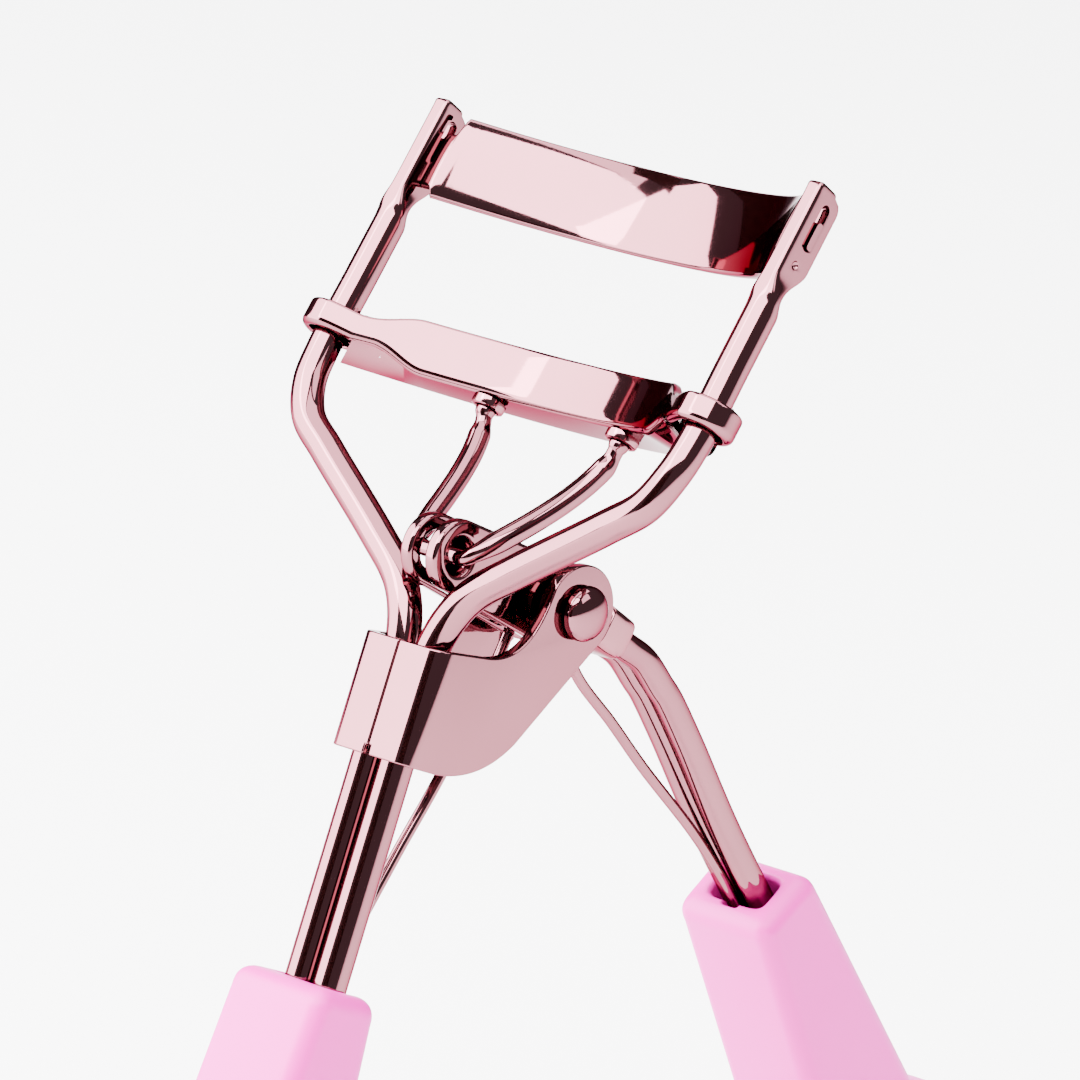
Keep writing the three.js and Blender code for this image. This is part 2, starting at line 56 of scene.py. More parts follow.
JOINTS = {joint["name"]: joint for joint in frame["joints"]}
PIVOT = Vector(JOINTS["handle_pivot"]["pos_m"])
BALL = Vector(JOINTS["yoke_pivot"]["pos_m"])
SLIDE = JOINTS["jaw_slide"]["axis"]
ARM_TILT = math.degrees(math.atan2(SLIDE[1], SLIDE[2]))

# ---- the design's dimensions, in millimetres and degrees ----------------------------------------
# A tilt leans towards +Y. A line is how far a piece's centre is across from the pivot in its own frame.

SHANK_TILT = 24.5
HANDLE_TILT = 31.2        # the moving handle leans the other way
ROOT_TILT = 38.5          # the lever's tail and the roots of the handle rods
ARM_X = 18.0
ROD_RADIUS = 1.25
ARM_RADIUS = 1.22
HANDLE_ROD_RADIUS = 1.1
SHANK_LINE = -10.95
ARM_LINE = -13.0
HANDLE_LINE = 4.6
ARM_TIP = 30.1
JAW_BULGE = 7.0
JAW_HALF_SPAN = 16.0
STRIP_BOTTOM = 23.0
PADDLE_HALF = 0.7
PADDLE_BACK = -11.1
PADDLE_LENGTH = ARM_TIP - 22.7
STRIP_TOP = 29.6
STRIP_THICKNESS = 0.8     # the CAD's; the visible sheet is thinner, on the same middle line
STRIP_SHEET = 0.6
STRIP_HALF_SPAN = 15.3
SHOULDER_SHEET = 0.55
LIP_TOP = 13.6
CHANNEL_BOTTOM = 9.5
CHANNEL_FRONT = -14.2
CHANNEL_DEPTH = 4.2
SHEET = 0.6
TRAY_HALF_SPAN = 15.9
WALL_HALF_SPAN = 14.9
WALL_SPACING = 0.12
PAD_TOP = 13.6
PAD_HALF_SPAN = 14.2
GUIDE_LEVEL = 11.7
GUIDE_HEIGHT = 2.0
GUIDE_LOOP = 2.0          # radius of the loop's middle line round the arm
LOW_EDGE_TAPER = (11.4, 15.6)     # where, along the wall from its middle, its edges run to the guide loop
HIGH_EDGE_TAPER = (12.8, 16.6)
BRACKET_HALF = 4.0
BRACKET_WALL = 0.9
BAND_WALL = 0.6
BRACKET_FRONT = -12.9
BAND_TOP = -5.6
BAND_BOTTOM = -13.8
EYE_RADIUS = 3.4
LEVER_HALF = 1.75
LEVER_SLOT = 0.65
EAR = (-11.2, 1.2)
EAR_RADIUS = 2.6
EAR_HOLE = 1.4
PIVOT_HOLE = 1.3
ROOT_LINE = 0.94
TAIL_END = 6.2
YOKE_RADIUS = 0.6
YOKE_LEG_RADIUS = 0.82
YOKE_BALL_X = 6.5
YOKE_BALL_RADIUS = 0.75
SPRING_RADIUS = 0.42
SPRING_LOOP = 1.75
FIXED_GRIP_START = -30.0
HANDLE_GRIP_START = 34.3
SLEEVE = 24.0
GRIP_HALF = 4.6
GRIP_ROUND = 1.3
LOOP_OUTSIDE = (11.8, 13.0)
LOOP_INSIDE = (8.3, 9.5)

JAW_LEAN = math.tan(math.radians(ARM_TILT - SHANK_TILT))
ARC_RISE = JAW_BULGE * math.cos(math.radians(ARM_TILT - SHANK_TILT))
ARC_RADIUS = (JAW_HALF_SPAN ** 2 + ARC_RISE ** 2) / (2 * ARC_RISE)
WALL_RADIUS = ARC_RADIUS + CHANNEL_FRONT - ARM_LINE + SHEET / 2

# ---- side frames --------------------------------------------------------------------------------


class SideFrame:
    """The (y, z) plane about the pivot, turned by a tilt: across points to +Y, along points up."""

    def __init__(self, tilt):
        turn = math.radians(tilt)
        self.across = Vector((0, math.cos(turn), -math.sin(turn)))
        self.along = Vector((0, math.sin(turn), math.cos(turn)))

    def at(self, x, across, along):
        place = Vector((x, 0, 0)) + self.across * across + self.along * along
        return PIVOT + place * MM

    def measure(self, point):
        """(across, along) of a point, in millimetres."""
        offset = (point - PIVOT) / MM
        return offset.dot(self.across), offset.dot(self.along)


UPRIGHT = SideFrame(0)
SHANK = SideFrame(SHANK_TILT)
ARMS = SideFrame(ARM_TILT)
HANDLE = SideFrame(-HANDLE_TILT)
ROOT = SideFrame(ROOT_TILT)
YOKE_BALL = ARMS.measure(BALL)

# ---- paths and meshes ---------------------------------------------------------------------------


def ease(value, low, high):
    """0 below low, 1 above high, and smooth between."""
    t = min(1.0, max(0.0, (value - low) / (high - low)))
    return t * t * (3 - 2 * t)


def mix(a, b, t):
    return a + (b - a) * t


def spline(points, per_span=24):
    """A centripetal Catmull-Rom line through the points."""
    ends = [points[0] * 2 - points[1], *points, points[-1] * 2 - points[-2]]
    line = []
    for p0, p1, p2, p3 in zip(ends, ends[1:], ends[2:], ends[3:]):
        d0, d1, d2 = (math.sqrt((b - a).length) for a, b in ((p0, p1), (p1, p2), (p2, p3)))
        m1 = ((p1 - p0) / d0 - (p2 - p0) / (d0 + d1) + (p2 - p1) / d1) * d1
        m2 = ((p2 - p1) / d1 - (p3 - p1) / (d1 + d2) + (p3 - p2) / d2) * d1
        for step in range(per_span):
            t = step / per_span
            h1 = 2 * t ** 3 - 3 * t ** 2 + 1
            h2 = t ** 3 - 2 * t ** 2 + t
            h3 = 3 * t ** 2 - 2 * t ** 3
            h4 = t ** 3 - t ** 2
            line.append(p1 * h1 + m1 * h2 + p2 * h3 + m2 * h4)
    return [*line, points[-1].copy()]


def evenly(line, spacing):
    """The same line with points a nearly constant distance apart."""
    marks = [0.0]
    for a, b in zip(line, line[1:]):
        marks.append(marks[-1] + (b - a).length)
    count = max(2, round(marks[-1] / spacing))
    result = []
    index = 0
    for step in range(count + 1):
        mark = marks[-1] * step / count
        while index < len(line) - 2 and marks[index + 1] < mark:
            index += 1
        span = marks[index + 1] - marks[index] or 1.0
        result.append(line[index].lerp(line[index + 1], (mark - marks[index]) / span))
    return result


def round_section(half_a, half_b, power=2.0, shift=0.0, count=32):
    """A superellipse, in millimetres: power 2 is an ellipse, and a higher power is squarer."""
    section = []
    for step in range(count):
        turn = 2 * math.pi * step / count
        c, s = math.cos(turn), math.sin(turn)
        a = half_a * math.copysign(abs(c) ** (2 / power), c)
        b = half_b * math.copysign(abs(s) ** (2 / power), s)
        section.append((a, b + shift))
    return section


def sweep(line, section_at, reference, end_radius=0.3):
    """Rings of a section along a line. section_at(distance in mm, length in mm) gives (a, b) points:
    a lies along the reference direction as far as the line lets it. Ends are rounded."""
    tangents = [
        (line[min(i + 1, len(line) - 1)] - line[max(i - 1, 0)]).normalized() for i in range(len(line))
    ]
    length = sum((b - a).length for a, b in zip(line, line[1:])) / MM
    rings = []
    normal = reference
    distance = 0.0
    for i, (point, tangent) in enumerate(zip(line, tangents)):
        if i:
            distance += (point - line[i - 1]).length / MM
        normal = (normal - tangent * normal.dot(tangent)).normalized()
        side = tangent.cross(normal)
        section = section_at(distance, length)
        rings.append([point + (normal * a + side * b) * MM for a, b in section])
    return round_ends(rings, tangents[0], tangents[-1], end_radius)


def even_wire(radius, count=32):
    """For a sweep: the same round section all along."""
    section = round_section(radius, radius, count=count)
    return lambda distance, length: section


def round_ends(rings, first_tangent, last_tangent, radius):
    steps = 5
    start, end = [], []
    for step in range(1, steps + 1):
        turn = math.pi / 2 * step / steps
        out = radius * math.sin(turn) * MM
        inset = radius * (1 - math.cos(turn)) * MM
        start.insert(0, shrunk(rings[0], inset, first_tangent * -out))
        end.append(shrunk(rings[-1], inset, last_tangent * out))
    return [*start, *rings, *end]


def shrunk(ring, inset, shift):
    centre = sum(ring, Vector()) / len(ring)
    reach = max((point - centre).length for point in ring)
    factor = max(0.02, 1 - inset / reach)
    return [centre + (point - centre) * factor + shift for point in ring]


def skin(bm, rows):
    """Four-sided faces between each ring of vertices and the next."""
    for row, following in zip(rows, rows[1:]):
        for k in range(len(row)):
            n = (k + 1) % len(row)
            bm.faces.new((row[k], row[n], following[n], following[k]))


def loft(rings):
    """Rings of points joined one to the next, closed at both ends."""
    mesh = bpy.data.meshes.new("loft")
    bm = bmesh.new()
    rows = [[bm.verts.new(point) for point in ring] for ring in rings]
    skin(bm, rows)
    bm.faces.new(rows[0][::-1])
    bm.faces.new(rows[-1])
    finish_mesh(bm, mesh)
    return mesh


def tube_loop(rings):
    """Rings of points joined one to the next, and the last to the first."""
    mesh = bpy.data.meshes.new("sleeve")
    bm = bmesh.new()
    rows = [[bm.verts.new(point) for point in ring] for ring in rings]
    skin(bm, [*rows, rows[0]])
    finish_mesh(bm, mesh)
    return mesh


def finish_mesh(bm, mesh, crease=38):
    """Outward faces, smooth but for edges sharper than the crease angle."""
    bmesh.ops.recalc_face_normals(bm, faces=bm.faces)
    for face in bm.faces:
        face.smooth = True
    for edge in bm.edges:
        edge.smooth = not (len(edge.link_faces) == 2 and edge.calc_face_angle(0) > math.radians(crease))
    bm.to_mesh(mesh)
    bm.free()


def mirrored(mesh):
    other = mesh.copy()
    other.transform(Matrix.Diagonal((-1, 1, 1, 1)))
    other.flip_normals()
    return other


def joined(*meshes):
    """Several closed shells as one mesh."""
    bm = bmesh.new()
    for mesh in meshes:
        bm.from_mesh(mesh)
    result = bpy.data.meshes.new("joined")
    finish_mesh(bm, result)
    return result


def lathe(frame_, across, along, profile, count=48):
    """A turned piece on the x axis through a side point; the profile is (radius, x) from end to end."""
    rings = []
    for radius, x in profile:
        ring = []
        for step in range(count):
            turn = 2 * math.pi * step / count
            ring.append(frame_.at(x, across + radius * math.cos(turn), along + radius * math.sin(turn)))
        rings.append(ring)
    return loft(rings)


def prism(frame_, outline, from_x, to_x):
    """A side outline of (across, along) points given thickness in x."""
    return loft([[frame_.at(x, *point) for point in outline] for x in (from_x, to_x)])


def column(frame_, outline, low_along, high_along):
    """A section of (x, across) points given height along a side frame."""
    levels = (low_along, high_along)
    return loft([[frame_.at(x, across, along) for x, across in outline] for along in levels])


def rectangle(half, from_, to):
    """Corners of a rectangle: half to each side of zero, and between two values the other way."""
    return [(-half, from_), (half, from_), (half, to), (-half, to)]


def ellipse(across, along, half, tall, start, end, steps):
    """Points of part of an ellipse, angles in degrees."""
    points = []
    for step in range(steps + 1):
        turn = math.radians(mix(start, end, step / steps))
        points.append((across + half * math.cos(turn), along + tall * math.sin(turn)))
    return points


def arc(across, along, radius, start, end, steps):
    """Points of an arc, angles in degrees."""
    return ellipse(across, along, radius, radius, start, end, steps)


def round_hole(across, along, radius):
    """Points of a circle, the first not repeated."""
    return arc(across, along, radius, 0, 354, 59)


def bezier(points, steps=16):
    """A Bezier curve through two to four control points, without its first point."""
    line = []
    for step in range(1, steps + 1):
        t = step / steps
        level = [Vector(point) for point in points]
        while len(level) > 1:
            level = [a.lerp(b, t) for a, b in zip(level, level[1:])]
        line.append(tuple(level[0]))
    return line


def added(name, data):
    """A new object in the scene."""
    item = bpy.data.objects.new(name, data)
    bpy.context.scene.collection.objects.link(item)
    return item


def combine(mesh, operation, *others):
    """Boolean of a mesh with others, one after the other."""
    target = added("work", mesh)
    tools = []
    for other in others:
        tool = added("tool", other)
        modifier = target.modifiers.new("cut", "BOOLEAN")
        modifier.operation = operation
        modifier.solver = "EXACT"
        modifier.object = tool
        tools.append(tool)
    result = evaluated(target)
    for used in (target, *tools):
        bpy.data.objects.remove(used)
    return result


def evaluated(target):
    """The object's mesh with its modifiers applied."""
    bpy.context.view_layer.update()
    depsgraph = bpy.context.evaluated_depsgraph_get()
    return bpy.data.meshes.new_from_object(target.evaluated_get(depsgraph))


def softened(mesh, width, segments=3, angle=32):
    """The same solid with its sharp edges rounded."""
    target = added("work", mesh)
    weld = target.modifiers.new("weld", "WELD")
    weld.merge_threshold = 0.004 * MM
    bevel = target.modifiers.new("round", "BEVEL")
    bevel.width = width * MM
    bevel.segments = segments
    bevel.limit_method = "ANGLE"
    bevel.angle_limit = math.radians(angle)
    result = evaluated(target)
    bpy.data.objects.remove(target)
    bm = bmesh.new()
    bm.from_mesh(result)
    finish_mesh(bm, result)
    return result


# ---- materials ----------------------------------------------------------------------------------


def new_material(name):
    material = bpy.data.materials.new(name)
    material.use_nodes = True
    nodes = material.node_tree.nodes
    return material, nodes, material.node_tree.links, nodes["Principled BSDF"]


def noise(nodes, links, scale, detail, stretch=None):
    """The output of a noise texture in the object's own space."""
    coordinates = nodes.new("ShaderNodeTexCoord")
    texture = nodes.new("ShaderNodeTexNoise")
    texture.inputs["Scale"].default_value = scale
    texture.inputs["Detail"].default_value = detail
    if stretch:
        mapping = nodes.new("ShaderNodeMapping")
        mapping.inputs["Scale"].default_value = stretch
        links.new(coordinates.outputs["Object"], mapping.inputs["Vector"])
        links.new(mapping.outputs["Vector"], texture.inputs["Vector"])
    else:
        links.new(coordinates.outputs["Object"], texture.inputs["Vector"])
    return texture.outputs["Fac"]


def vary_color(nodes, links, factor, dark, light, target):
    """Drives a colour socket between two tints."""
    ramp = nodes.new("ShaderNodeValToRGB")
    ramp.color_ramp.elements[0].position = 0.3
    ramp.color_ramp.elements[0].color = (*dark, 1)
    ramp.color_ramp.elements[1].position = 0.7
    ramp.color_ramp.elements[1].color = (*light, 1)
    links.new(factor, ramp.inputs["Fac"])
    links.new(ramp.outputs["Color"], target)


def vary_value(nodes, links, factor, low, high, target):
    """Drives a value socket between two values."""
    span = nodes.new("ShaderNodeMapRange")
    span.inputs["To Min"].default_value = low
    span.inputs["To Max"].default_value = high
    links.new(factor, span.inputs["Value"])
    links.new(span.outputs["Result"], target)


def bump(nodes, links, factor, strength, distance, shader, before=None):
    """Adds a bump, on top of one given before."""
    node = nodes.new("ShaderNodeBump")
    node.inputs["Strength"].default_value = strength
    node.inputs["Distance"].default_value = distance
    links.new(factor, node.inputs["Height"])
    if before:
        links.new(before.outputs["Normal"], node.inputs["Normal"])
    links.new(node.outputs["Normal"], shader.inputs["Normal"])
    return node


def plated_metal(name, dark, light, rough):
    """Polished plating: tiny changes of tint and gloss, faint polishing waves and hairlines."""
    material, nodes, links, shader = new_material(name)
    shader.inputs["Metallic"].default_value = 1.0
    shader.inputs["Specular Tint"].default_value = (0.40, 0.30, 0.32, 1)
    cloud = noise(nodes, links, 90, 3)
    vary_color(nodes, links, cloud, dark, light, shader.inputs["Base Color"])
    wear = noise(nodes, links, 420, 5)
    vary_value(nodes, links, wear, *rough, shader.inputs["Roughness"])
    waves = bump(nodes, links, noise(nodes, links, 160, 1), 0.05, 0.0001, shader)
    bump(nodes, links, noise(nodes, links, 900, 3, (1, 7, 7)), 0.02, 0.00003, shader, waves)
    return material


def grip_plastic():
    """Satin moulded plastic with a fine even grain."""
    material, nodes, links, shader = new_material("grip_plastic")
    shader.inputs["Subsurface Weight"].default_value = 0.12
    shader.inputs["Subsurface Radius"].default_value = (0.0012, 0.0006, 0.0009)
    shader.inputs["Specular IOR Level"].default_value = 0.3
    cloud = noise(nodes, links, 45, 2)
    vary_color(nodes, links, cloud, (0.53, 0.004, 0.285), (0.56, 0.005, 0.30), shader.inputs["Base Color"])
    vary_value(nodes, links, noise(nodes, links, 300, 4), 0.40, 0.50, shader.inputs["Roughness"])
    grain = bump(nodes, links, noise(nodes, links, 5200, 2), 0.10, 0.00004, shader)
    bump(nodes, links, noise(nodes, links, 120, 1), 0.06, 0.0002, shader, grain)
    return material


def soft_silicone():
    material, nodes, links, shader = new_material("silicone")
    shader.inputs["Subsurface Weight"].default_value = 0.3
    shader.inputs["Subsurface Radius"].default_value = (0.002, 0.0012, 0.0012)
    vary_color(nodes, links, noise(nodes, links, 150, 3), (0.80, 0.66, 0.68), (0.86, 0.72, 0.74),
               shader.inputs["Base Color"])
    vary_value(nodes, links, noise(nodes, links, 700, 4), 0.42, 0.6, shader.inputs["Roughness"])
    bump(nodes, links, noise(nodes, links, 2500, 3), 0.15, 0.00005, shader)
    return material


ROSE = plated_metal("rose_metal", (0.175, 0.067, 0.081), (0.190, 0.073, 0.088), (0.035, 0.07))
BRIGHT = plated_metal("bright_metal", (0.22, 0.088, 0.104), (0.24, 0.096, 0.113), (0.05, 0.09))
PLASTIC = grip_plastic()
SILICONE = soft_silicone()


def piece(name, mesh, body, replaced, material=ROSE, slot="rose_metal"):
    """A finished piece that stands for CAD nodes and rides on a body."""
    item = added(name, mesh)
    mesh.name = name
    mesh.materials.clear()
    mesh.materials.append(material)
    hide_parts(*replaced)
    if body:
        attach(item, body)
    return item


def pair(stem, node_stem, mesh, body, **looks):
    """A right piece and its mirror image on the left."""
    piece(f"right_{stem}", mesh, body, [f"right_{node_stem}"], **looks)
    piece(f"left_{stem}", mirrored(mesh), body, [f"left_{node_stem}"], **looks)


X = Vector((1, 0, 0))

# ---- frame: wires and upper jaw -----------------------------------------------------------------


def frame_rod_line():
    """The right wire's centre line, from the arm's tip down to the shank's end inside the grip."""
    spread = [
        (1.35, -43), (1.35, -30), (1.35, BAND_BOTTOM), (1.35, -8), (1.45, BAND_TOP), (2.2, -3.2),
        (3.5, -1.3), (6.8, 1.2), (13.7, 5.9), (16.4, 7.9),
    ]
    arm = [(17.6, -13.0, 7.0), (ARM_X, ARM_LINE, 9.6), (ARM_X, ARM_LINE, 16), (ARM_X, ARM_LINE, 23),
           (ARM_X, ARM_LINE, ARM_TIP - 0.3)]
    points = [SHANK.at(x, SHANK_LINE, along) for x, along in spread]
    points += [ARMS.at(*point) for point in arm]
    return evenly(spline(points), 0.25 * MM)[::-1]


def arm_section(distance, _length):
    """Round wire, flattened and widened backwards at its tip, with a notch where the flat begins."""
    wire = mix(ARM_RADIUS, ROD_RADIUS, ease(distance, 18, 30))
    flat = 1 - ease(distance, PADDLE_LENGTH - 0.6, PADDLE_LENGTH + 1.6)
    wide = PADDLE_BACK - ARM_LINE
    notch = 0.55
    back = mix(wide, notch, ease(distance, PADDLE_LENGTH - 1.9, PADDLE_LENGTH + 0.9))
    back = mix(back, wire, ease(distance, PADDLE_LENGTH + 0.9, PADDLE_LENGTH + 2.4))
    if distance < 1.0:
        back -= 1.0 - math.sqrt(1 - (1 - distance) ** 2)
    half = (back + wire) / 2
    return round_section(mix(wire, PADDLE_HALF, flat), half, mix(2.0, 6.0, flat), -(back - wire) / 2, 48)


def arm_slot():
    """The tool for the upper jaw's slot in the arm, rounded at its ends."""
    front, back, low, high = -13.1, -12.2, 25.35, 29.0
    middle, radius = (front + back) / 2, (back - front) / 2
    outline = arc(middle, low + radius, radius, 180, 360, 10)
    outline += arc(middle, high - radius, radius, 0, 180, 10)
    return prism(ARMS, outline, ARM_X - 2, ARM_X + 2)


def press_mark():
    """The tool for the shallow press mark under the slot."""
    mark = bpy.data.meshes.new("mark")
    bm = bmesh.new()
    place = Matrix.Translation(ARMS.at(ARM_X + PADDLE_HALF + 0.12, -12.9, 24.1))
    bmesh.ops.create_uvsphere(bm, u_segments=24, v_segments=16, radius=0.36 * MM, matrix=place)
    finish_mesh(bm, mark)
    return mark


def frame_rod():
    rod = loft(sweep(frame_rod_line(), arm_section, X, 0.3))
    return softened(combine(rod, "DIFFERENCE", arm_slot(), press_mark()), 0.05, 2, 55)


pair("frame_rod", "frame_rod", frame_rod(), "frame")


def jaw_place(inset, x):
    """(x, across) on the jaws' arc, by its angle: x is measured on the upper jaw's front face."""
    turn = math.asin(max(-1.0, min(1.0, x / ARC_RADIUS)))
    radius = ARC_RADIUS + inset
    return radius * math.sin(turn), ARM_LINE + ARC_RISE - ARC_RADIUS + radius * math.cos(turn)


def jaw_rise(x):
    """How far the jaws' arc has risen along the arms."""
    turn = math.asin(max(-1.0, min(1.0, x / ARC_RADIUS)))
    return JAW_LEAN * (ARC_RISE - ARC_RADIUS + ARC_RADIUS * math.cos(turn))


def ribbon(places, camber=0.0, low_corner=0.26, high_corner=0.26):
    """A sheet standing along the arms. A place is (x, across, low, high, thickness); camber bows the
    front face, which is on the right of the way the places run."""
    rings = []
    for i, (x, across, low, high, thickness) in enumerate(places):
        before, after = places[max(i - 1, 0)], places[min(i + 1, len(places) - 1)]
        dx, dy = after[0] - before[0], after[1] - before[1]
        size = math.hypot(dx, dy)
        front = (dy / size, -dx / size)
        half = thickness / 2
        ring = []
        for sign_u, sign_v, first in ((1, -1, -90), (1, 1, 0), (-1, 1, 90), (-1, -1, 180)):
            limit = low_corner if sign_v < 0 else high_corner
            if sign_u < 0:
                limit = min(limit, 0.15)
            round_ = min(limit, thickness - 0.05 if sign_u > 0 else half - 0.02)
            for step in range(7):
                turn = math.radians(first + 15 * step)
                u = sign_u * (half - round_) + round_ * math.cos(turn)
                v = (high - round_ if sign_v > 0 else low + round_) + round_ * math.sin(turn)
                u -= camber * (v - (low + high) / 2) ** 2
                ring.append((u, v))
            if sign_u > 0 and sign_v < 0 or sign_u < 0 and sign_v > 0:
                a, b = (low + low_corner, high - high_corner)
                rows = [a + (b - a) * k / 8 for k in range(1, 8)]
                for v in rows if sign_u > 0 else rows[::-1]:
                    ring.append((sign_u * half - camber * (v - (low + high) / 2) ** 2, v))
        rings.append([ARMS.at(x + front[0] * u, across + front[1] * u, v) for u, v in ring])
    return loft(rings)


def plan_line(points, spacing):
    """(x, across) points smoothed and spaced evenly."""
    line = spline([Vector((x, across, 0)) for x, across in points], 10)
    return [(point.x, point.y) for point in evenly(line, spacing)]


def upper_jaw():
    """The strip, a shoulder at each end that meets the arm, and a tab that goes through it."""
    half_arc = [jaw_place(STRIP_THICKNESS / 2, STRIP_HALF_SPAN * step / 60) for step in range(61)]
    end = [(16.25, -12.6), (16.6, -12.65), (17.2, -12.65), (18.9, -12.65)]
    half = plan_line([*half_arc, *end], 0.1)
    plan = [*[(-x, across) for x, across in half[:0:-1]], *half]
    places = []
    for x, across in plan:
        reach = abs(x)
        rise = jaw_rise(min(reach, 16.2) * ARC_RADIUS / (ARC_RADIUS + STRIP_THICKNESS / 2))
        shoulder, tab = ease(reach, 16.15, 16.4), ease(reach, 17.2, 17.3)
        low = mix(mix(STRIP_BOTTOM + rise, 23.6, shoulder), 25.5, tab)
        high = mix(mix(STRIP_TOP + rise, 28.1, shoulder), 27.6, tab)
        places.append((x, across, low, high, mix(STRIP_SHEET, SHOULDER_SHEET, shoulder)))
    return ribbon(places, 0.02)


piece("upper_jaw", upper_jaw(), "frame", ["upper_jaw"])

# ---- bracket, spacer, pivot rivet and washers ---------------------------------------------------


def u_section(half, front, round_, back, steps):
    """A U's outline in (x, across): round corners in front and straight sides to the back."""
    return [(-half, back), *arc(-half + round_, front + round_, round_, 180, 270, steps),
            *arc(half - round_, front + round_, round_, 270, 360, steps), (half, back)]


def bracket():
    """A sheet folded round both wires, cut to its side outline, with a seam and a notch in front."""
    half, inner = BRACKET_HALF, BRACKET_HALF - BRACKET_WALL
    front = BRACKET_FRONT + BAND_WALL
    eye = arc(0, 0, EYE_RADIUS, -38, 160, 64)
    outline = [(BRACKET_FRONT - 1, BAND_BOTTOM), (-9.8, BAND_BOTTOM)]
    outline += bezier([(-9.8, BAND_BOTTOM), (-5.2, BAND_BOTTOM + 0.2), (-2.6, -10.2)], 24)
    outline += eye
    outline += bezier([eye[-1], (-3.4, -1.2), (-4.0, -4.6), (-8.0, -5.0)], 32)
    outline += [(BRACKET_FRONT - 1, BAND_TOP)]
    section = u_section(half, BRACKET_FRONT, 1.5, EYE_RADIUS + 2, 16)
    pocket = u_section(inner, front, 1.1, EYE_RADIUS + 5, 10)
    body = combine(prism(SHANK, outline, -half - 1, half + 1), "INTERSECT",
                   column(SHANK, section, BAND_BOTTOM - 1, EYE_RADIUS + 1))
    body = combine(body, "DIFFERENCE", column(SHANK, pocket, BAND_BOTTOM - 2, EYE_RADIUS + 2),
                   prism(SHANK, round_hole(0, 0, PIVOT_HOLE), -half - 2, half + 2))
    seam_half, notch_half = 0.045, 0.3
    seam = column(SHANK, rectangle(seam_half, front + 0.5, front - 2), BAND_BOTTOM - 1, BAND_TOP + 1)
    notch = column(SHANK, rectangle(notch_half, front + 0.5, front - 2), BAND_BOTTOM - 1, BAND_BOTTOM + 0.7)
    return softened(combine(body, "DIFFERENCE", seam, notch), 0.24, 4)


piece("clamp_bracket", bracket(), "frame", ["clamp_bracket"])

spacer_front = SHANK_LINE + ROD_RADIUS + 0.3
spacer = softened(column(SHANK, rectangle(2.8, spacer_front, spacer_front + 1.0),
                         BAND_BOTTOM + 0.6, BAND_TOP - 0.6), 0.2, 3)
piece("rod_spacer", spacer, "frame", ["rod_spacer"], material=BRIGHT, slot="bright_metal")


def rivet():
    """A pin through both walls with a domed head at each end."""
    seat, radius, height, rim = BRACKET_HALF + 0.15, 2.0, 1.4, 0.35
    side = [(1.0, 0.0), (1.0, seat), (1.85, seat), (radius, seat + 0.14), (radius, seat + rim)]
    for step in range(1, 15):
        turn = math.radians(88 * step / 14)
        side.append((radius * math.cos(turn), seat + rim + (height - rim) * math.sin(turn)))
    return lathe(SHANK, 0, 0, [*[(r, -x) for r, x in side[:0:-1]], *side], 64)


piece("pivot_rivet", rivet(), "frame", ["pivot_rivet"])

washer_low, washer_high = LEVER_HALF + 0.25, BRACKET_HALF - BRACKET_WALL - 0.25
pair("pivot_washer", "pivot_washer", lathe(SHANK, 0, 0, [
    (1.05, washer_low), (2.2, washer_low), (2.3, washer_low + 0.1), (2.3, washer_high - 0.1),
    (2.2, washer_high), (1.05, washer_high),
]), "frame", material=BRIGHT, slot="bright_metal")

# ---- lever, collar and handle rods --------------------------------------------------------------


def lever():
    """Two side plates with holes for the yoke and the rivet, and the tail between them."""
    outline = arc(*EAR, EAR_RADIUS, 86, 265, 60)
    outline += [(-0.6, -3.0)] + bezier([(-0.6, -3.0), (1.2, -3.2), (5.9, -1.6)], 10)
    outline += [(6.5, 0.5)] + bezier([(6.5, 0.5), (3.4, 2.6), (1.2, 3.0)], 10)
    stop = prism(ROOT, [(4.5, -8), (20, -8), (20, 8), (4.5, 8)], -3, 3)
    holes = [round_hole(*EAR, EAR_HOLE), round_hole(0, 0, PIVOT_HOLE)]
    plate = combine(prism(SHANK, outline, LEVER_SLOT, LEVER_HALF), "DIFFERENCE",
                    *(prism(SHANK, hole, LEVER_SLOT - 1, LEVER_HALF + 1) for hole in holes), stop)
    right = softened(plate, 0.32, 4)
    left = mirrored(right)
    low, high = ROOT_LINE - 1.1, ROOT_LINE + 1.1
    tail = softened(prism(ROOT, [(2.6, low), (TAIL_END, low), (TAIL_END, high), (2.6, high)],
                          -LEVER_HALF, LEVER_HALF), 0.25, 3)
    return joined(right, left, tail)


piece("lever_channel", lever(), "lever", ["lever_channel"])


def collar():
    """A short sleeve with rounded corners, open at both ends."""
    start, end, drawn_length = 4.8, TAIL_END + 1.5, 3.8
    half_x, half_along, wall = 2.6, 1.65, 0.25
    outside = ((0, 0.25), (0.05, 0.1), (0.2, 0), (1.9, 0), (3.4, 0.0), (3.65, 0.06), (3.78, 0.22))
    rings = []
    for distance, inset in outside:
        rings.append((start + distance * (end - start) / drawn_length, half_x - inset, half_along - inset))
    rings.append((end, half_x - 0.2, half_along - 0.2))
    for distance in (3.7, 2.0, 0.3):
        rings.append((start + distance * (end - start) / drawn_length, half_x - wall, half_along - wall))
    loops = []
    for across, *halves in rings:
        section = round_section(*halves, 5.0, 0, 56)
        loops.append([ROOT.at(a, across, ROOT_LINE + b) for a, b in section])
    return tube_loop(loops)


piece("shank_collar", collar(), "lever", ["shank_collar"], material=BRIGHT, slot="bright_metal")


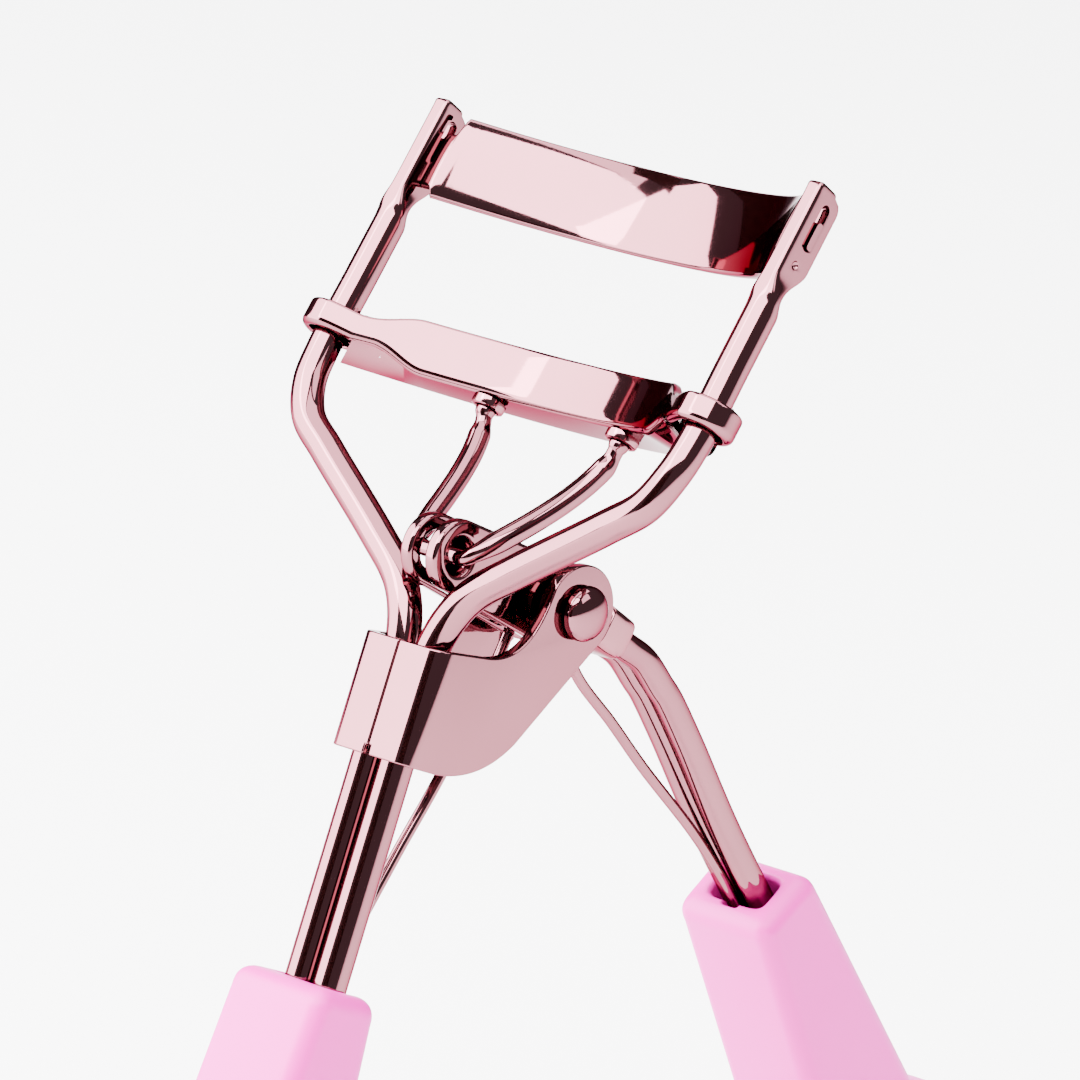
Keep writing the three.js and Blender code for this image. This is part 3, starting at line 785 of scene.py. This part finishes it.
def handle_rod():
    points = [ROOT.at(1.2, TAIL_END + 0.4, ROOT_LINE), ROOT.at(1.2, TAIL_END + 2.4, ROOT_LINE - 0.05)]
    points += [UPRIGHT.at(1.2, *point) for point in ((9.4, -6.3), (11.2, -8.7))]
    handle = ((5.2, 14.5), (5.1, 19), (HANDLE_LINE, 28), (HANDLE_LINE, 46))
    points += [HANDLE.at(1.2, out, -down) for out, down in handle]
    return loft(sweep(evenly(spline(points), 0.3 * MM), even_wire(HANDLE_ROD_RADIUS), X))


pair("handle_rod", "handle_rod", handle_rod(), "lever")

# ---- grips --------------------------------------------------------------------------------------


def grip_outline(line, start, edges):
    """The grip's outline and its finger hole. Edges are measured across from the line: low and high at
    the top, then at the sleeve's foot, then the loop's centre and how far it is below the top."""
    low_top, high_top, low_foot, high_foot, shift, drop = edges
    loop_across, loop_along = line + shift, start - drop
    half, tall = LOOP_OUTSIDE
    foot = start - SLEEVE
    turn = 1.7
    low, high = line + low_top, line + high_top
    left = [(low + turn, start)]
    left += bezier([(low + turn, start), (low, start), (low, start - turn)], 8)
    left += bezier([(low, start - turn), (line + low_foot, foot)], 16)
    left += bezier([(line + low_foot, foot), (line + low_foot, foot - 4), (loop_across - half, foot - 5),
                    (loop_across - half, loop_along)], 28)
    left += ellipse(loop_across, loop_along, half, tall, 180, 360, 72)[1:]
    right = bezier([(loop_across + half, loop_along), (loop_across + half, foot - 5),
                    (line + high_foot, foot - 4), (line + high_foot, foot)], 28)
    right += bezier([(line + high_foot, foot), (high, start - turn)], 16)
    right += bezier([(high, start - turn), (high, start), (high - turn, start)], 8)
    hole = ellipse(loop_across, loop_along, *LOOP_INSIDE, 0, 355, 71)
    return [*left, *right], hole


def rounded_slab(frame_, outlines, half, round_):
    """Outlines given thickness in x with fully rounded rims."""
    curve = bpy.data.curves.new("slab", "CURVE")
    curve.dimensions = "2D"
    curve.fill_mode = "BOTH"
    curve.extrude = half - round_
    curve.bevel_depth = round_
    curve.bevel_resolution = 7
    curve.offset = -round_
    for outline in outlines:
        spline_ = curve.splines.new("POLY")
        spline_.points.add(len(outline) - 1)
        for point, (across, along) in zip(spline_.points, outline):
            point.co = (across, along, 0, 1)
        spline_.use_cyclic_u = True
    item = added("slab", curve)
    mesh = evaluated(item)
    bpy.data.objects.remove(item)
    bm = bmesh.new()
    bm.from_mesh(mesh)
    bmesh.ops.remove_doubles(bm, verts=bm.verts, dist=0.002)
    for vertex in bm.verts:
        across, along, x = vertex.co
        vertex.co = frame_.at(x, across, along)
    finish_mesh(bm, mesh)
    return mesh


def flared_tool(frame_, line, start, half_across, half_x, depth, flare):
    """A rounded hole's tool that widens at the surface into a soft rim."""
    rings = []
    levels = [start - depth, start - flare]
    levels += [start - flare + flare * step / 10 for step in range(1, 11)]
    levels += [start + 1.0]
    for level in levels:
        t = min(1.0, max(0.0, (level - start + flare) / flare))
        grow = flare * (1 - math.sqrt(max(0.0, 1 - t * t))) * 0.85
        section = round_section(half_x + grow, half_across + grow, 5.0, 0, 64)
        rings.append([frame_.at(a, line + b, level) for a, b in section])
    return loft(rings)


def grip(frame_, line, start, edges, side, socket_half):
    """A slab with a finger hole, a socket for the rods, a slot for the spring and a flat to stand on."""
    outline, hole = grip_outline(line, start, edges)
    body = rounded_slab(frame_, [outline, hole], GRIP_HALF, GRIP_ROUND)
    socket = flared_tool(frame_, line, start, 1.5, socket_half, 13.5, 0.5)
    slot_mid = line - side * 1.4
    spring_slot = flared_tool(frame_, slot_mid, start, 0.6, 0.8, 8, 0.25)
    base = PIVOT.z / MM
    below = prism(UPRIGHT, rectangle(90, -base - 20, -base), -20, 20)
    mesh = combine(body, "DIFFERENCE", socket, spring_slot, below)
    bm = bmesh.new()
    bm.from_mesh(mesh)
    finish_mesh(bm, mesh, 30)
    return mesh


FIXED_EDGES = (-4.0, 2.4, -6.1, 4.8, -0.05, 39.3)
MOVING_EDGES = (-3.6, 3.1, -7.5, 3.2, -1.8, 37.2)
piece("fixed_grip", grip(SHANK, SHANK_LINE, FIXED_GRIP_START, FIXED_EDGES, -1, 2.9), "frame",
      ["fixed_grip"], material=PLASTIC, slot="grip_plastic")
piece("moving_grip", grip(HANDLE, HANDLE_LINE, -HANDLE_GRIP_START, MOVING_EDGES, 1, 2.7), "lever",
      ["moving_grip"], material=PLASTIC, slot="grip_plastic")

# ---- return spring ------------------------------------------------------------------------------


def spring():
    """The leg on the fixed shank, half a turn round the rivet, and the leg on the moving handle."""
    fixed_leg = ((-9.55, -36), (-9.5, -31), (-8.9, -27), (-6.9, -20.2), (-4.7, -13.6), (-2.6, -5))
    points = [SHANK.at(0, *point) for point in fixed_leg]
    points += [SHANK.at(0, *point) for point in arc(0, 0, SPRING_LOOP, 170, -10, 6)]
    points += [UPRIGHT.at(0, *point) for point in ((2.2, -3.2), (3.9, -6.6), (7.3, -10.7), (10.7, -15.0))]
    points += [HANDLE.at(0, out, -down) for out, down in ((2.8, 27), (3.3, 33), (3.35, 38.5))]
    return loft(sweep(evenly(spline(points), 0.2 * MM), even_wire(SPRING_RADIUS, 20), X, 0.1))


spring_piece = piece("return_spring", spring(), None, ["return_spring"])
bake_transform(spring_piece)

# ---- lower jaw, pad and sockets -----------------------------------------------------------------


def tray_ring(x):
    """The floor and back wall at one place on the arc, as one folded sheet."""
    near, deep = CHANNEL_FRONT - ARM_LINE + 0.25, CHANNEL_FRONT - ARM_LINE + CHANNEL_DEPTH
    bottom, bend = CHANNEL_BOTTOM + 0.02, 0.9
    walked = WALL_RADIUS * math.asin(abs(x) / ARC_RADIUS)
    lift = (GUIDE_LEVEL - GUIDE_HEIGHT / 2 - CHANNEL_BOTTOM) * ease(walked, *LOW_EDGE_TAPER)
    rim, edge = 0.2, 0.15
    points = [(near + edge, bottom + lift), *arc(deep - bend, bottom + bend, bend, 270, 360, 6)]
    points += arc(deep - rim, LIP_TOP - rim, rim, 0, 90, 3)
    points += arc(deep - SHEET + rim, LIP_TOP - rim, rim, 90, 180, 3)
    points += arc(deep - bend, bottom + bend, bend - SHEET, 360, 270, 6)
    high = bottom + SHEET + lift
    points += [(near + edge, high), (near, high - edge), (near, bottom + lift + edge)]
    rise = jaw_rise(x)
    ring = []
    for inset, along in points:
        place_x, across = jaw_place(inset, x)
        ring.append(ARMS.at(place_x, across, along + rise))
    return ring


def lower_jaw():
    """A front wall that narrows into a loop round each arm, and a floor and back wall behind it."""
    tray = loft([tray_ring(mix(-TRAY_HALF_SPAN, TRAY_HALF_SPAN, step / 180)) for step in range(181)])
    middle = CHANNEL_FRONT - ARM_LINE + SHEET / 2
    wall = [jaw_place(middle, WALL_HALF_SPAN * step / 70) for step in range(71)]
    round_arm = arc(ARM_X, ARM_LINE, GUIDE_LOOP, -105, 172, 28)
    half = plan_line([*wall, *round_arm], WALL_SPACING)
    plan = [*[(-x, across) for x, across in half[:0:-1]], *half]
    last = len(half) - 1
    places = []
    for i, (x, across) in enumerate(plan):
        walked = abs(i - last) * WALL_SPACING
        turn = min(walked / WALL_RADIUS, 0.9)
        rise = JAW_LEAN * max(0.0, ARC_RISE - ARC_RADIUS + ARC_RADIUS * math.cos(turn))
        low_step, high_step = ease(walked, *LOW_EDGE_TAPER), ease(walked, *HIGH_EDGE_TAPER)
        low = mix(CHANNEL_BOTTOM, GUIDE_LEVEL - GUIDE_HEIGHT / 2, low_step) + rise
        high = mix(LIP_TOP, GUIDE_LEVEL + GUIDE_HEIGHT / 2, high_step) + rise
        places.append((x, across, low, high, mix(SHEET, 0.7, low_step)))
    return joined(tray, ribbon(places, 0.0, 0.5, 0.24))


piece("lower_jaw", lower_jaw(), "slider", ["lower_jaw"])


def lash_pad():
    """A soft strip that fills the tray behind its front wall."""
    inset = CHANNEL_FRONT - ARM_LINE + SHEET + 0.15
    depth = CHANNEL_DEPTH - 2 * SHEET - 0.3
    section = round_section(depth / 2, (PAD_TOP - CHANNEL_BOTTOM - SHEET - 0.1) / 2, 4.0)
    middle = (PAD_TOP + CHANNEL_BOTTOM + SHEET + 0.1) / 2
    rings = []
    for step in range(121):
        x = mix(-PAD_HALF_SPAN, PAD_HALF_SPAN, step / 120)
        ring = []
        for a, b in section:
            place_x, across = jaw_place(inset + depth / 2 + a, x)
            ring.append(ARMS.at(place_x, across, middle + b + jaw_rise(x)))
        rings.append(ring)
    return loft(rings)


piece("lash_pad", lash_pad(), "slider", ["lash_pad"], material=SILICONE, slot="silicone")


def lathe_along(frame_, x, across, profile, count=40):
    """A turned ring that stands along a side frame; the profile is (radius, along), closed."""
    rings = []
    for radius, along in profile:
        ring = []
        for step in range(count):
            turn = 2 * math.pi * step / count
            ring.append(frame_.at(x + radius * math.cos(turn), across + radius * math.sin(turn), along))
        rings.append(ring)
    return tube_loop(rings)


socket_low, socket_high = YOKE_BALL[1] + 0.1, YOKE_BALL[1] + 0.7
pair("yoke_socket", "yoke_socket", lathe_along(ARMS, YOKE_BALL_X, YOKE_BALL[0], [
    (0.95, socket_low), (0.9, socket_low + 0.1), (0.9, socket_high), (1.25, socket_high + 0.05),
    (1.25, socket_low + 0.2), (1.2, socket_low + 0.06), (1.08, socket_low),
]), "slider", material=BRIGHT, slot="bright_metal")

# ---- yoke ---------------------------------------------------------------------------------------


def yoke():
    """One wire: a ball at each end with a waist under it, thicker legs, and a thinner middle that goes
    through the lever's ears."""
    leg = [(6.2, -4.3, 10.4), (5.7, -5.0, 8.8), (5.1, -6.2, 7.0), (4.4, -7.8, 5.1), (3.6, -9.6, 3.2),
           (2.75, -10.95, 1.7), (2.1, *EAR)]
    ball = ARMS.at(YOKE_BALL_X, *YOKE_BALL)
    right = [ball, *(SHANK.at(*point) for point in leg)]
    left = [Vector((-point.x, point.y, point.z)) for point in right[::-1]]
    line = evenly(spline([*right, SHANK.at(0, *EAR), *left], 30), 0.1 * MM)
    neck = 0.8

    def section(distance, length):
        reach = min(distance, length - distance)
        leg_radius = mix(YOKE_RADIUS, YOKE_LEG_RADIUS, ease(abs(distance - length / 2), 2.4, 5.0))
        radius = mix(YOKE_RADIUS, leg_radius, ease(reach, neck, 2.0))
        if reach < neck:
            radius = max(radius, math.sqrt(max(0.02, YOKE_BALL_RADIUS ** 2 - reach ** 2)))
        return round_section(radius, radius, count=28)

    wire = loft(sweep(line, section, X, 0.05))
    balls = []
    for sign in (1, -1):
        cap = bpy.data.meshes.new("ball")
        bm = bmesh.new()
        place = Matrix.Translation(Vector((sign * ball.x, ball.y, ball.z)))
        bmesh.ops.create_uvsphere(bm, u_segments=40, v_segments=28, radius=YOKE_BALL_RADIUS * MM,
                                  matrix=place)
        finish_mesh(bm, cap)
        balls.append(cap)
    return joined(wire, *balls)


piece("yoke_wire", yoke(), "yoke", ["yoke_wire"])

# ---- camera and studio --------------------------------------------------------------------------


def direction(azimuth, elevation):
    """From the object towards a viewer: azimuth 0 is straight in front, at -Y, and +X is at 90."""
    a, e = math.radians(azimuth), math.radians(elevation)
    return Vector((math.sin(a) * math.cos(e), -math.cos(a) * math.cos(e), math.sin(e)))


def aim(item, target):
    item.rotation_euler = (target - item.location).to_track_quat("-Z", "Y").to_euler()


def camera():
    """The camera that was solved from the photograph."""
    azimuth, elevation, distance, lens = 44.0, 16.72, 0.48214, 228.0
    data = bpy.data.cameras.new("camera")
    data.lens = lens
    data.sensor_width = 36
    item = added("camera", data)
    rise_in_picture = 4.3
    target = PIVOT + Vector((0, 0, rise_in_picture / math.cos(math.radians(elevation)) * MM))
    item.location = target + direction(azimuth, elevation) * distance
    aim(item, target)
    bpy.context.scene.camera = item


def softbox(name, azimuth, elevation, distance, size, power, target):
    data = bpy.data.lights.new(name, "AREA")
    data.shape = "RECTANGLE"
    data.size, data.size_y = size
    data.energy = power
    item = added(name, data)
    item.location = target + direction(azimuth, elevation) * distance
    aim(item, target)


def sheet(name, width, height, material):
    """A flat rectangle, measured in metres."""
    mesh = bpy.data.meshes.new(name)
    w, h = width / 2, height / 2
    mesh.from_pydata([(-w, -h, 0), (w, -h, 0), (w, h, 0), (-w, h, 0)], [], [(0, 1, 2, 3)])
    mesh.materials.append(material)
    return added(name, mesh)


def flag(name, azimuth, elevation, distance, size, target, material):
    """A dark studio flag that only reflections see."""
    item = sheet(name, *size, material)
    item.location = target + direction(azimuth, elevation) * distance
    aim(item, target)
    item.visible_camera = False
    item.visible_diffuse = False
    item.visible_shadow = False
    item.visible_transmission = False


def studio():
    """A pale floor and world, soft lights, and dark flags for the metal to reflect."""
    floor_material, nodes, links, shader = new_material("studio_floor")
    shader.inputs["Base Color"].default_value = (0.90, 0.90, 0.905, 1)
    vary_value(nodes, links, noise(nodes, links, 3, 2), 0.72, 0.8, shader.inputs["Roughness"])
    floor = sheet("floor", 12, 12, floor_material)
    black, _, _, shader = new_material("studio_flag")
    shader.inputs["Base Color"].default_value = (0.02, 0.010, 0.009, 1)
    shader.inputs["Specular IOR Level"].default_value = 0.0
    shader.inputs["Roughness"].default_value = 1.0
    world = bpy.data.worlds.new("studio")
    world.use_nodes = True
    background = world.node_tree.nodes["Background"]
    background.inputs["Color"].default_value = (1.0, 0.99, 0.985, 1)
    background.inputs["Strength"].default_value = 0.3
    bpy.context.scene.world = world
    # name, azimuth and elevation in degrees, distance and size in metres, then power in watts
    softbox("key", -48, 25, 1.1, (1.25, 1.15), 118, PIVOT)
    softbox("over_camera", 13, 56, 1.2, (1.6, 0.62), 90, PIVOT)
    softbox("fill", 108, 40, 1.3, (0.7, 0.6), 12, PIVOT)
    softbox("back", -142, 12, 1.4, (0.6, 0.7), 6, PIVOT)
    softbox("top", 200, 82, 1.3, (1.6, 1.2), 66, PIVOT)
    flag("flag_front", 14, 12, 0.8, (0.42, 0.66), PIVOT, black)
    flag("flag_side", -112, 4, 0.8, (0.22, 0.5), PIVOT, black)
    flag("flag_high", -92, 62, 0.9, (0.60, 0.26), PIVOT, black)
    flag("flag_behind_left", -108, 8, 0.17, (0.045, 0.24), PIVOT, black)
    flag("flag_behind_right", 196, 8, 0.17, (0.045, 0.24), PIVOT, black)


camera()
studio()
